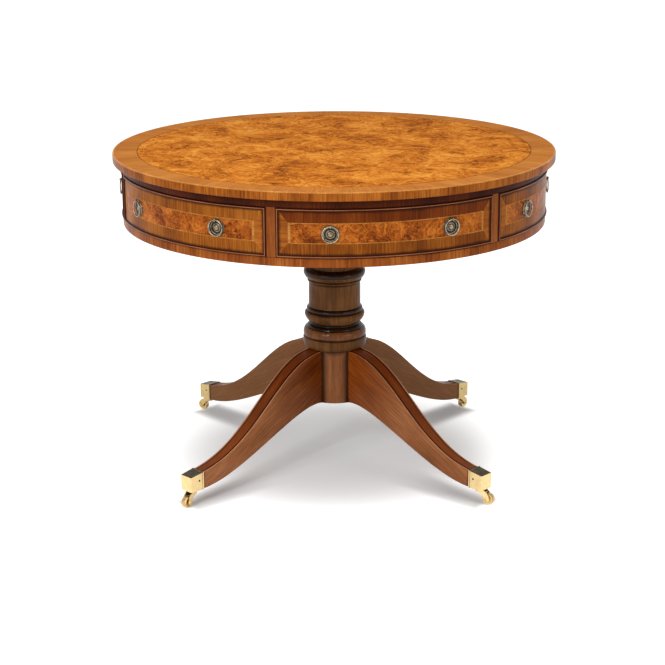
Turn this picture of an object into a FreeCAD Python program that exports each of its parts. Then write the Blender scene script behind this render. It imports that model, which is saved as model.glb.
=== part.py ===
import FreeCAD, Part
import math
import os

os.makedirs("parts", exist_ok=True)

Vector = FreeCAD.Vector
CENTRE = Vector(0, 0, 0)
UP = Vector(0, 0, 1)
ALONG_X = Vector(1, 0, 0)
ALONG_Y = Vector(0, 1, 0)

# A drum table in millimetres. It stands on the plane z = 0, and its column is the z axis.

# Overall sizes
table_height = 762.0
top_radius = 515.0
drum_radius = 495.0
drum_height = 145.0

# Table top: a round board with a burr veneer field inside a crossbanded border
top_thickness = 19.0
veneer_thickness = 1.0
crossband_width = 58.0

# Drum carcase: two boards, six stiles between the fronts, and a partition on each side of a drawer
bay_count = 6
front_direction = -90.0
drum_turn_angle = 13.17
carcase_board = 19.0
stile_width = 21.0
stile_depth = 33.0
partition_thickness = 12.0
stop_width = 60.0
stop_depth = 15.0
stop_height = 15.0

# Fronts: a board built of upright staves, round in front and flat on each stave's back,
# with a cock bead glued round its four edges
front_thickness = 21.0
stave_count = 24
front_gap = 0.5
bead_width = 5.7
bead_proud = 3.0

# Drawers
drawer_back_radius = 165.0
drawer_stile_gap = 7.9
drawer_side = 8.0
drawer_back = 8.0
drawer_back_drop = 10.0
drawer_headroom = 8.0
drawer_bottom = 5.0
drawer_bottom_rise = 5.0
drawer_bottom_groove = 3.0
drawer_play = 1.0
drawer_floor_gap = 0.3
drawer_back_gap = 0.5

# Ring pulls: a round plate with a boss and an eye, and a ring that hangs in the eye
handle_drop = 73.0
handle_angle = 15.4
plate_radius = 19.5
plate_edge = 1.2
plate_dish = 0.8
boss_radius = 8.0
boss_top_radius = 4.5
boss_height = 3.6
ring_radius = 17.2
ring_bar_radius = 1.7
ring_bar_stand = 6.2
eye_width = 5.0
eye_wall = 1.6
eye_play = 0.35
plate_sides = 12
ring_sides = 12
ring_bar_sides = 4

# Pivot of the drum on the pedestal
bearing_half_flats = 140.0
bearing_thickness = 22.7
bearing_sides = 8
drum_lift = 0.3
spindle_radius = 9.0
spindle_play = 0.1
spindle_depth = 78.0
spindle_end = 7.0
washer_half_side = 28.0
washer_thickness = 3.0
nut_half_flats = 15.0
nut_sides = 6
nut_height = 12.0

# Turned column, from the leg block up
block_bottom = 152.0
block_radius = 70.0
collar_bottom = 283.0
collar_height = 23.0
collar_radius = 75.8
ovolo_height = 29.5
ovolo_radius = 75.3
neck_radius = 57.2
neck_height = 3.5
cup_height = 30.0
cup_radius = 72.2
fillet_radius = 65.6
fillet_height = 7.5
fillet_fall = 2.5
shaft_radius = 62.0
shaft_share = 0.3585
crown_height = 37.0
crown_radius = 74.0
stem_radius = 58.0
stem_tenon_half = 30.0

# Outlines of the turned mouldings: shares of the swell and shares of the height
ovolo_shares = ((1.0, 0.0), (0.96, 0.45), (0.60, 0.77), (0.0, 1.0))
cup_shares = ((0.0, 0.0), (0.66, 0.31), (1.0, 0.66), (0.56, 1.0))
crown_shares = ((0.0, 0.0), (0.46, 0.31), (0.98, 0.64), (0.20, 1.0))

# Sabre legs, dovetailed into the block from below
leg_count = 4
first_leg_angle = 44.1
leg_root_top = 280.4
leg_root_half_width = 23.5
leg_toe_half_width = 17.8
leg_curve_tolerance = 0.3
dovetail_depth = 18.0
dovetail_neck_half = 7.0
dovetail_tail_half = 10.0
dovetail_stop = 20.0
dovetail_play = 0.1

# Control points of the leg's two edges: shares of the reach outwards and of the fall
leg_upper_shares = ((0.0, 0.0), (0.359, 0.0), (0.541, 0.889), (1.0, 1.0))
leg_lower_shares = ((0.0, 0.0), (0.206, -0.162), (0.671, 0.982), (1.0, 1.0))

# Square toe caps
cap_inner_radius = 443.5
cap_length = 37.0
cap_root_height = 41.5
cap_toe_height = 36.0
cap_toe_half_width = 17.6
cap_proud = 0.8
cap_wall = 2.0
cap_end_wall = 3.0
cap_lip_length = 3.4
cap_lip_proud = 0.6
tenon_play = 0.1

# Castors
castor_pin_inset = 18.5
castor_pin_radius = 4.0
castor_pin_head = 5.7
castor_pin_head_height = 2.2
castor_pin_head_sides = 8
swivel_gap = 0.3
swivel_play = 0.08
wheel_radius = 13.5
wheel_width = 13.5
wheel_sides = 32
wheel_headroom = 2.0
wheel_side_gap = 0.3
wheel_play = 0.08
castor_trail = 22.0
horn_height = 7.7
horn_hub_radius = 9.8
horn_hub_sides = 16
horn_cheek = 2.5
horn_shoulder = 7.0
horn_boss_radius = 5.5
horn_curve_steps = 3
horn_hollow_share = 0.62
axle_radius = 2.2
castor_turns = (4.0, 12.0, 12.0, 18.0)

# Cutting tools run this far past what they cut
overrun = 5.0

# Heights and places that follow
drum_top = table_height - top_thickness
drum_bottom = drum_top - drum_height
opening_bottom = drum_bottom + carcase_board
opening_top = drum_top - carcase_board
field_radius = top_radius - crossband_width
front_back_radius = drum_radius - front_thickness
half_bay = 180.0 / bay_count
handle_height = drum_top - handle_drop
bearing_top = drum_bottom - drum_lift
bearing_bottom = bearing_top - bearing_thickness
cap_bottom = 2 * wheel_radius + wheel_headroom + horn_height + swivel_gap
castor_radius = cap_inner_radius + castor_pin_inset
stile_inner_face = (drum_radius - stile_depth) * math.sin(math.radians(half_bay))
stile_inner_face -= stile_width / 2 * math.cos(math.radians(half_bay))
drawer_half_width = stile_inner_face - drawer_stile_gap
leg_shoulder = math.sqrt(block_radius ** 2 - leg_root_half_width ** 2)
leg_toe_bottom = cap_bottom + cap_proud
leg_toe_top = cap_bottom + cap_root_height - cap_proud
bay_names = ("front", "right_dummy", "right", "rear_dummy", "left", "left_dummy")
leg_names = ("rear_right", "rear_left", "front_left", "front_right")

nodes = {}


def add(name, *solids):
    nodes[name] = solids[0] if len(solids) == 1 else Part.Compound(list(solids))


def turned(shape, angle):
    result = shape.copy()
    result.rotate(CENTRE, UP, angle)
    return result


def moved(shape, x, y, z):
    result = shape.copy()
    result.translate(Vector(x, y, z))
    return result


def cylinder(radius, bottom, top):
    return Part.makeCylinder(radius, top - bottom, Vector(0, 0, bottom))


def annulus(outer, inner, bottom, top):
    return cylinder(outer, bottom, top).cut(cylinder(inner, bottom, top))


def box(near, far, half_width, bottom, top):
    return Part.makeBox(far - near, 2 * half_width, top - bottom, Vector(near, -half_width, bottom))


def plan_prism(points, bottom, top):
    corners = [Vector(x, y, bottom) for x, y in points]
    return Part.Face(Part.makePolygon(corners + corners[:1])).extrude(Vector(0, 0, top - bottom))


def side_prism(edges, half_width):
    """Extrude an outline in the x-z plane to both sides of it."""
    face = Part.Face(Part.Wire(edges))
    face.translate(Vector(0, -half_width, 0))
    return face.extrude(Vector(0, 2 * half_width, 0))


def lines(points):
    vectors = [Vector(x, 0, z) for x, z in points]
    return [Part.LineSegment(a, b).toShape() for a, b in zip(vectors, vectors[1:])]


def sector(half_angle, inset, reach, bottom, top):
    """A wedge about the x axis, its two sides moved inwards by the inset."""
    angle = math.radians(half_angle)
    apex = inset / math.sin(angle)
    tip_x = apex + reach * math.cos(angle)
    tip_y = reach * math.sin(angle)
    return plan_prism([(apex, 0), (tip_x, -tip_y), (tip_x, tip_y)], bottom, top)


def plan_polygon(half_flats, sides, bottom, top):
    """A prism with a regular plan, one of its flats facing x."""
    radius = half_flats / math.cos(math.pi / sides)
    angles = [2 * math.pi * (side + 0.5) / sides for side in range(sides)]
    return plan_prism([(radius * math.cos(a), radius * math.sin(a)) for a in angles], bottom, top)


def revolve_outline(points):
    face = Part.Face(Part.Wire(lines(list(points) + [points[0]])))
    return face.revolve(CENTRE, UP, 360)


def faceted_turning(points, sides, is_ring=False):
    """Turn an outline of (radius, height) points about z, with flat sides and one side facing y."""
    step = 2 * math.pi / sides
    start = math.pi / 2 - step / 2

    def corner(point, index):
        angle = start + step * index
        return Vector(point[0] * math.cos(angle), point[0] * math.sin(angle), point[1])

    pairs = list(zip(points, points[1:]))
    if is_ring:
        pairs.append((points[-1], points[0]))
    faces = []
    for low, high in pairs:
        for side in range(sides):
            quad = [corner(low, side), corner(low, side + 1), corner(high, side + 1), corner(high, side)]
            faces.append(Part.Face(Part.makePolygon(quad + quad[:1])))
    if not is_ring:
        for point in (points[0], points[-1]):
            rim = [corner(point, side) for side in range(sides)]
            faces.append(Part.Face(Part.makePolygon(rim + rim[:1])))
    solid = Part.Solid(Part.Shell(faces))
    return solid if solid.Volume > 0 else solid.reversed()


def bay_angle(bay):
    """Direction of a bay's middle. The front of the table faces -y."""
    return drum_turn_angle + front_direction + 2 * half_bay * bay


# Table top

def make_top():
    veneer_bottom = table_height - veneer_thickness
    add("top_core", cylinder(top_radius, drum_top, veneer_bottom))
    add("top_burr_veneer", cylinder(field_radius, veneer_bottom, table_height))
    add("top_crossbanding", annulus(top_radius, field_radius, veneer_bottom, table_height))


# Drum carcase

def stile():
    back = drum_radius - stile_depth
    post = box(back, drum_radius + overrun, stile_width / 2, opening_bottom, opening_top)
    return post.common(cylinder(drum_radius, opening_bottom, opening_top))


def partition(side):
    """A board along one side of a drawer, mitred to its neighbour near the centre."""
    inner = drawer_half_width + drawer_play
    outer = inner + partition_thickness
    low, high = (inner, outer) if side > 0 else (-outer, -inner)
    height = opening_top - opening_bottom
    board = Part.makeBox(drum_radius, high - low, height, Vector(0, low, opening_bottom))
    board = board.common(sector(2 * half_bay, 0, 4 * drum_radius, opening_bottom, opening_top))
    board = board.common(stave_backs(front_gap, opening_bottom, opening_top))
    return board.cut(turned(stile(), side * half_bay))


def make_carcase():
    hole = cylinder(spindle_radius + spindle_play, drum_bottom - overrun, opening_bottom + overrun)
    add("carcase_bottom_board", cylinder(drum_radius, drum_bottom, opening_bottom).cut(hole))
    add("carcase_top_board", cylinder(drum_radius, opening_top, drum_top))
    stiles = [turned(stile(), bay_angle(bay) + half_bay) for bay in range(bay_count)]
    add("frieze_stiles", *stiles)
    stop_face = drawer_back_radius - drawer_back_gap
    stop_top = opening_bottom + stop_height
    stop = box(stop_face - stop_depth, stop_face, stop_width / 2, opening_bottom, stop_top)
    partitions = []
    stops = []
    for bay in range(0, bay_count, 2):
        partitions.append(turned(partition(1), bay_angle(bay)))
        partitions.append(turned(partition(-1), bay_angle(bay)))
        stops.append(turned(stop, bay_angle(bay)))
    add("carcase_partitions", *partitions)
    add("drawer_stops", *stops)


# Fronts and their cock beads, in a frame where the bay faces +x

def stave_backs(play, bottom, top):
    """The many-sided space behind the fronts, smaller all round by the play."""
    return plan_polygon(front_back_radius - play, stave_count, bottom, top)


def curved_panel(outer_radius, inset, bottom, top):
    board = cylinder(outer_radius, bottom, top).cut(stave_backs(0, bottom, top))
    return board.common(sector(half_bay, inset, 2 * outer_radius, bottom, top))


def front_board(bottom):
    inset = stile_width / 2 + front_gap + bead_width
    top = opening_top - front_gap
    return curved_panel(drum_radius, inset, bottom + bead_width, top - bead_width)


def cock_bead(bottom):
    """Four strips round a front: two curved rails, and two uprights between them."""
    outer_radius = drum_radius + bead_proud
    inset = stile_width / 2 + front_gap
    top = opening_top - front_gap
    rail = curved_panel(outer_radius, inset, bottom, bottom + bead_width)
    upper_rail = moved(rail, 0, 0, top - bead_width - bottom)
    frame = curved_panel(outer_radius, inset, bottom + bead_width, top - bead_width)
    window = sector(half_bay, inset + bead_width, 2 * outer_radius, bottom, top)
    return [rail, upper_rail] + frame.cut(window).Solids


# Ring pulls, in a frame where the plate lies on x = 0, faces +x and its middle is the origin

def face_outwards(shape):
    """Turn a shape made facing +z, with its top at +y, to face +x with its top at +z."""
    result = shape.copy()
    result.rotate(CENTRE, ALONG_X, 90)
    result.rotate(CENTRE, UP, 90)
    return result


ring_hinge_rise = ring_radius * math.cos(math.pi / ring_sides)
eye_hole_radius = ring_bar_radius + eye_play


def handle_plate():
    outline = [
        (plate_radius, 0),
        (plate_radius, plate_edge),
        (boss_radius, plate_dish),
        (boss_top_radius, boss_height),
    ]
    plate = face_outwards(faceted_turning(outline, plate_sides))
    eye_half = eye_hole_radius + eye_wall
    low = ring_hinge_rise - eye_half
    high = ring_hinge_rise + eye_half
    foot = box(0, ring_bar_stand + eye_half, eye_width / 2, low, high)
    start = Vector(ring_bar_stand, -eye_width / 2, ring_hinge_rise)
    arch = Part.makeCylinder(eye_hole_radius, eye_width, start, ALONG_Y)
    inner = ring_bar_stand - eye_hole_radius
    outer = ring_bar_stand + eye_hole_radius
    well = box(inner, outer, eye_width / 2, ring_hinge_rise - eye_hole_radius, ring_hinge_rise)
    return plate.fuse(foot.cut(arch).cut(well))


def pull_ring():
    outline = []
    for corner in range(ring_bar_sides):
        angle = 2 * math.pi * (corner + 0.5) / ring_bar_sides
        outline.append((ring_radius + ring_bar_radius * math.cos(angle), ring_bar_radius * math.sin(angle)))
    return moved(face_outwards(faceted_turning(outline, ring_sides, is_ring=True)), ring_bar_stand, 0, 0)


def on_front(shape, bay, side):
    """Place a pull on a bay's front: side is -1 for the left one and 1 for the right one."""
    return turned(moved(shape, drum_radius, 0, handle_height), bay_angle(bay) + side * handle_angle)


# Drawers, in a frame where the drawer faces +x

def drawer_parts():
    bottom = opening_bottom + drawer_floor_gap
    top = opening_top - drawer_headroom
    floor = bottom + drawer_bottom_rise
    floor_top = floor + drawer_bottom
    inner_half = drawer_half_width - drawer_side
    reach = stave_backs(0, bottom, top)
    floor_half = inner_half + drawer_bottom_groove
    floor_board = box(drawer_back_radius, drum_radius, floor_half, floor, floor_top).common(reach)
    both = box(drawer_back_radius, drum_radius, drawer_half_width, bottom, top)
    both = both.cut(box(drawer_back_radius - overrun, drum_radius + overrun, inner_half, bottom, top))
    sides = both.common(reach).cut(floor_board).Solids
    back_front = drawer_back_radius + drawer_back
    back = box(drawer_back_radius, back_front, inner_half, floor_top, top - drawer_back_drop)
    return sides, back, floor_board


def make_bays():
    dummy_boards = []
    dummy_beads = []
    dummy_plates = []
    sides, back, floor_board = drawer_parts()
    for bay in range(bay_count):
        name = bay_names[bay % len(bay_names)]
        angle = bay_angle(bay)
        is_drawer = bay % 2 == 0
        bottom = opening_bottom + (front_gap if is_drawer else 0)
        board = turned(front_board(bottom), angle)
        beads = [turned(strip, angle) for strip in cock_bead(bottom)]
        plates = [on_front(handle_plate(), bay, -1), on_front(handle_plate(), bay, 1)]
        for side, side_name in ((-1, "left"), (1, "right")):
            add(name + "_ring_pull_" + side_name, on_front(pull_ring(), bay, side))
        if is_drawer:
            add(name + "_drawer_front", board)
            add(name + "_drawer_cock_bead", *beads)
            add(name + "_drawer_handle_plates", *plates)
            add(name + "_drawer_sides", *[turned(side, angle) for side in sides])
            add(name + "_drawer_back", turned(back, angle))
            add(name + "_drawer_bottom", turned(floor_board, angle))
        else:
            dummy_boards.append(board)
            dummy_beads.extend(beads)
            dummy_plates.extend(plates)
    add("dummy_fronts", *dummy_boards)
    add("dummy_cock_beads", *dummy_beads)
    add("dummy_handle_plates", *dummy_plates)


# Pedestal

def moulding(seat_radius, full_radius, bottom, height, shares):
    swell = full_radius - seat_radius
    return [(seat_radius + swell * out, bottom + height * up) for out, up in shares]


def column_outline():
    z = collar_bottom + collar_height
    points = [
        (0, block_bottom),
        (block_radius, block_bottom),
        (block_radius, collar_bottom),
        (collar_radius, collar_bottom),
        (collar_radius, z),
    ]
    points += moulding(neck_radius, ovolo_radius, z, ovolo_height, ovolo_shares)
    z += ovolo_height + neck_height
    points += moulding(neck_radius, cup_radius, z, cup_height, cup_shares)
    z += cup_height
    points += [(fillet_radius, z + fillet_height)]
    z += fillet_height + fillet_fall
    points += [(shaft_radius, z)]
    z += (bearing_bottom - z - crown_height) * shaft_share
    points += moulding(shaft_radius, crown_radius, z, crown_height, crown_shares)
    z += crown_height
    points += [
        (stem_radius, z),
        (stem_radius, bearing_bottom),
        (0, bearing_bottom),
    ]
    return points


def dovetail(play):
    """The leg's tongue, or with play its socket in the block, for a leg along +x."""
    neck = dovetail_neck_half + play
    tail = dovetail_tail_half + play
    back = leg_shoulder - dovetail_depth - play
    outline = [(leg_shoulder, -neck), (leg_shoulder, neck), (back, tail), (back, -tail)]
    return plan_prism(outline, block_bottom, leg_root_top - dovetail_stop + play)


def make_column():
    column = revolve_outline(column_outline())
    column = column.fuse(plan_polygon(stem_tenon_half, 4, bearing_bottom, bearing_top))
    column = column.cut(cylinder(spindle_radius, bearing_top - spindle_depth, bearing_top))
    flat = box(leg_shoulder, block_radius + overrun, block_radius, block_bottom, leg_root_top)
    for leg in range(leg_count):
        angle = leg_angle(leg)
        column = column.cut(turned(flat, angle)).cut(turned(dovetail(dovetail_play), angle))
    add("column", column)


def make_pivot():
    bearing = plan_polygon(bearing_half_flats, bearing_sides, bearing_bottom, bearing_top)
    tenon = plan_polygon(stem_tenon_half, 4, bearing_bottom, bearing_top)
    add("bearing_block", bearing.cut(tenon))
    washer_bottom = opening_bottom + drum_lift
    nut_bottom = washer_bottom + washer_thickness
    nut_top = nut_bottom + nut_height
    spindle = cylinder(spindle_radius, bearing_top - spindle_depth, nut_top + spindle_end)
    nut = plan_polygon(nut_half_flats, nut_sides, nut_bottom, nut_top).cut(spindle)
    washer = plan_polygon(washer_half_side, 4, washer_bottom, nut_bottom).cut(spindle)
    add("pivot_spindle", spindle)
    add("spindle_nut_and_washer", nut, washer)


# Legs, toe caps and castors, in a frame where the leg points along +x

def leg_angle(leg):
    return first_leg_angle + 360.0 / leg_count * leg


def leg_edge(shares, root_height, toe_height):
    reach = cap_inner_radius - leg_shoulder
    fall = root_height - toe_height
    poles = [Vector(leg_shoulder + reach * out, 0, root_height - fall * down) for out, down in shares]
    curve = Part.BezierCurve()
    curve.setPoles(poles)
    return [arc.toShape() for arc in curve.toBSpline().toBiArcs(leg_curve_tolerance)]


def cap_shape(inset, near, far):
    """The toe cap's tapering block between two radii, with all its sides moved inwards."""
    def rim(radius):
        share = (radius - cap_inner_radius) / cap_length
        half = leg_toe_half_width + cap_proud
        half += (cap_toe_half_width - half) * share - inset
        height = cap_root_height + (cap_toe_height - cap_root_height) * share
        bottom = cap_bottom + inset
        top = cap_bottom + height - inset
        return [Vector(radius, y, z) for y, z in ((-half, bottom), (half, bottom), (half, top), (-half, top))]

    first = rim(near)
    last = rim(far)
    quads = [first, last]
    for i in range(4):
        quads.append([first[i - 1], first[i], last[i], last[i - 1]])
    faces = [Part.Face(Part.makePolygon(quad + quad[:1])) for quad in quads]
    solid = Part.Solid(Part.Shell(faces))
    return solid if solid.Volume > 0 else solid.reversed()


def castor_pin():
    head_top = cap_bottom - swivel_gap - horn_height
    head = plan_polygon(castor_pin_head, castor_pin_head_sides, head_top - castor_pin_head_height, head_top)
    pin = cylinder(castor_pin_radius, head_top, cap_bottom)
    return moved(pin.fuse(head), castor_radius, 0, 0)


def make_leg():
    """One leg with its dovetail tongue and the tenon that its toe cap covers."""
    upper = leg_edge(leg_upper_shares, leg_root_top, leg_toe_top)
    lower = leg_edge(leg_lower_shares, block_bottom, leg_toe_bottom)
    toe = lines([(cap_inner_radius, leg_toe_bottom), (cap_inner_radius, leg_toe_top)])
    root = lines([(leg_shoulder, leg_root_top), (leg_shoulder, block_bottom)])
    leg = side_prism(Part.sortEdges(lower + toe + upper + root)[0], leg_root_half_width)
    plan = [
        (leg_shoulder, -leg_root_half_width),
        (cap_inner_radius, -leg_toe_half_width),
        (cap_inner_radius, leg_toe_half_width),
        (leg_shoulder, leg_root_half_width),
    ]
    leg = leg.common(plan_prism(plan, 0, table_height))
    tenon_end = cap_inner_radius + cap_length - cap_end_wall
    tenon = cap_shape(cap_wall + tenon_play, cap_inner_radius, tenon_end)
    return leg.fuse([dovetail(0), tenon]).removeSplitter()


def make_cap():
    cap = cap_shape(0, cap_inner_radius, cap_inner_radius + cap_length)
    lip = cap_shape(-cap_lip_proud, cap_inner_radius, cap_inner_radius + cap_lip_length)
    pocket = cap_shape(cap_wall, cap_inner_radius, cap_inner_radius + cap_length - cap_end_wall)
    return cap.fuse(lip).cut(pocket)


def horn():
    """A castor's fork about its own swivel axis, trailing along +x."""
    top = cap_bottom - swivel_gap
    plate_bottom = top - horn_height
    boss = horn_boss_radius
    diagonal = boss * math.sqrt(0.5)
    inner = wheel_width / 2 + wheel_side_gap
    crown = (horn_shoulder, top)
    bend = (castor_trail + boss / 2, wheel_radius + 3 * boss / 2)
    nose = (castor_trail + boss, wheel_radius)
    low_nose = (castor_trail + diagonal, wheel_radius - diagonal)
    sole = (castor_trail, wheel_radius - boss)
    low_heel = (castor_trail - diagonal, wheel_radius - diagonal)
    heel = (castor_trail - boss, wheel_radius)
    hollow = ((castor_trail - boss) * horn_hollow_share, (wheel_radius + plate_bottom) / 2)
    throat = (-boss / 2, plate_bottom)
    outline = lines([throat, (-boss / 2, top), crown])
    arcs = (
        (crown, bend, nose),
        (nose, low_nose, sole),
        (sole, low_heel, heel),
        (heel, hollow, throat),
    )
    for points in arcs:
        curve = Part.Arc(*[Vector(x, 0, z) for x, z in points]).toShape()
        outline += Part.makePolygon(curve.discretize(horn_curve_steps + 1)).Edges
    cheeks = side_prism(Part.sortEdges(outline)[0], inner + horn_cheek)
    cheeks = cheeks.cut(box(-boss, castor_trail + 2 * boss, inner, 0, plate_bottom))
    hub = plan_polygon(horn_hub_radius, horn_hub_sides, plate_bottom, top)
    fork = hub.fuse(cheeks).removeSplitter()
    return fork.cut(cylinder(castor_pin_radius + swivel_play, plate_bottom, top))


def axle():
    """The wheel's pin, held between the cheeks of the fork."""
    half_width = wheel_width / 2 + wheel_side_gap
    start = Vector(castor_trail, -half_width, wheel_radius)
    return Part.makeCylinder(axle_radius, 2 * half_width, start, ALONG_Y)


def wheel():
    disc = plan_polygon(wheel_radius, wheel_sides, 0, wheel_width)
    disc = disc.cut(cylinder(axle_radius + wheel_play, 0, wheel_width))
    disc.rotate(CENTRE, ALONG_X, 90)
    return moved(disc, castor_trail, wheel_width / 2, wheel_radius)


def make_legs():
    leg = make_leg()
    cap = make_cap()
    fork = horn()
    caps = []
    pins = []
    for index in range(leg_count):
        name = leg_names[index % len(leg_names)]
        angle = leg_angle(index)
        turn = castor_turns[index % len(castor_turns)]

        def on_toe(shape):
            return turned(moved(turned(shape, turn), castor_radius, 0, 0), angle)

        add("leg_" + name, turned(leg, angle))
        add("castor_horn_" + name, on_toe(fork), on_toe(axle()))
        add("castor_wheel_" + name, on_toe(wheel()))
        caps.append(turned(cap, angle))
        pins.append(turned(castor_pin(), angle))
    add("toe_caps", *caps)
    add("castor_pins", *pins)


make_top()
make_carcase()
make_bays()
make_column()
make_pivot()
make_legs()

for node_name, node_shape in nodes.items():
    node_shape.exportStep("parts/" + node_name + ".step")
print(len(nodes), "nodes written")
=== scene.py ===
import bmesh
import bpy
import cmath
import math
from mathutils import Matrix, Vector


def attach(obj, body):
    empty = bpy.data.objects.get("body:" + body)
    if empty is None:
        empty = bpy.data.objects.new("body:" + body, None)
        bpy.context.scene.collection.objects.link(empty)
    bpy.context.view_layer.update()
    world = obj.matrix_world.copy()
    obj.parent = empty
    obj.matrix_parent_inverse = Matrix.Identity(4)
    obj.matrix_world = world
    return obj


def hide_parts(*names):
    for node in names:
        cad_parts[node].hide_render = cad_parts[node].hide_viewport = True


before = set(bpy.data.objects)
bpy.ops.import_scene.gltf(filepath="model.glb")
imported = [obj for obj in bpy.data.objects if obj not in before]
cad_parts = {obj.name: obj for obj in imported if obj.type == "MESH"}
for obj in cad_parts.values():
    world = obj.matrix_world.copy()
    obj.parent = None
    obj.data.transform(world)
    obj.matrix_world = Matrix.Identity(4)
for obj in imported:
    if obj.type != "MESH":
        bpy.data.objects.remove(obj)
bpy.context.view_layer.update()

MM = 0.001

# Sizes, in metres

table_height = 762 * MM
top_radius = 514.8 * MM
top_thickness = 19 * MM
field_radius = 457 * MM
stringing_width = 1.4 * MM
drum_radius = 495 * MM
rail_height = 19 * MM
drum_bottom = 598 * MM
drum_top = table_height - top_thickness
opening_bottom = drum_bottom + rail_height
opening_top = drum_top - rail_height
stile_width = 21 * MM
stile_depth = 33 * MM
front_thickness = 21 * MM
front_gap = 0.5 * MM
bead_width = 5.7 * MM
bead_proud = 3 * MM
centre_bay_turn = math.radians(13.17)
half_bay = math.radians(30)
staves_all_round = 24

bay_names = ("front", "right_dummy", "right", "rear_dummy", "left", "left_dummy")
leg_names = ("rear_right", "rear_left", "front_left", "front_right")
castor_turns = (math.radians(4), math.radians(12), math.radians(12), math.radians(18))
first_leg_angle = math.radians(44.1)


def bay_angle(bay):
    return centre_bay_turn - math.pi / 2 + 2 * half_bay * bay


def is_drawer(bay):
    """Drawers and dummy fronts alternate round the drum."""
    return bay % 2 == 0


def bay_body(bay):
    return bay_names[bay] + "_drawer" if is_drawer(bay) else "drum"


def bay_node(bay, own, shared):
    """The node of a drawer's own part, or the one that the dummy fronts share."""
    return bay_names[bay] + "_drawer_" + own if is_drawer(bay) else shared


def opening_half(inset, radius):
    """Half the angle of a front at a radius, with an inset from the front's side."""
    return half_bay - math.asin((stile_width / 2 + front_gap + inset) / radius)


def leg_turn(leg, size):
    """The turn of one leg from the x axis, as a matrix of three or four rows."""
    return Matrix.Rotation(first_leg_angle + math.pi / 2 * leg, size, "Z")


def new_object(name, data):
    item = bpy.data.objects.new(name, data)
    bpy.context.scene.collection.objects.link(item)
    return item


# Camera at the photograph's place

camera_place = Vector((-0.0889, -3.9773, 1.4988))
camera_yaw = 0.02101
camera_pitch = 0.29057
camera_roll = -0.00426
focal_pixels = 1721.1
photo_pixels = 665
sensor_width = 36.0


def make_camera():
    forward = Vector((
        math.sin(camera_yaw) * math.cos(camera_pitch),
        math.cos(camera_yaw) * math.cos(camera_pitch),
        -math.sin(camera_pitch),
    ))
    level = forward.cross(Vector((0, 0, 1))).normalized()
    upright = level.cross(forward)
    right = math.cos(camera_roll) * level + math.sin(camera_roll) * upright
    up = math.cos(camera_roll) * upright - math.sin(camera_roll) * level
    data = bpy.data.cameras.new("camera")
    data.sensor_width = sensor_width
    data.lens = focal_pixels / photo_pixels * sensor_width
    camera = new_object("camera", data)
    turn = Matrix((right, up, -forward)).transposed()
    camera.matrix_world = Matrix.Translation(camera_place) @ turn.to_4x4()
    bpy.context.scene.camera = camera


# Materials

WHITE = (1, 1, 1, 1)
coat_roughness = 0.11


class Tree:
    """The nodes of a material or of the world, while they are put together."""

    def __init__(self, owner):
        owner.use_nodes = True
        self.tree = owner.node_tree
        self.tree.nodes.clear()

    def feed(self, socket, value):
        if isinstance(value, bpy.types.NodeSocket):
            self.tree.links.new(value, socket)
        else:
            socket.default_value = value

    def made(self, kind, output, inputs=None, **settings):
        """One output of a new node, with what its inputs get by name or number."""
        node = self.tree.nodes.new(kind)
        for key, value in settings.items():
            setattr(node, key, value)
        for key, value in (inputs or {}).items():
            self.feed(node.inputs[key], value)
        return node.outputs[output]

    def show(self, kind, surface):
        self.feed(self.tree.nodes.new(kind).inputs["Surface"], surface)

    def math(self, operation, *values):
        return self.made("ShaderNodeMath", 0, dict(enumerate(values)), operation=operation)

    def times(self, first, second):
        return self.math("MULTIPLY", first, second)

    def weighed(self, *layers):
        """The sum of some values, each times its share."""
        total = 0.0
        for value, share in layers:
            total = self.math("MULTIPLY_ADD", value, share, total)
        return total

    def seen_directly(self):
        """A value of 1 for rays from the camera, from polished surfaces and through glass."""
        value = 0.0
        for name in ("Is Camera Ray", "Is Glossy Ray", "Is Transmission Ray"):
            value = self.math("MAXIMUM", value, self.made("ShaderNodeLightPath", name))
        return value


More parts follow.
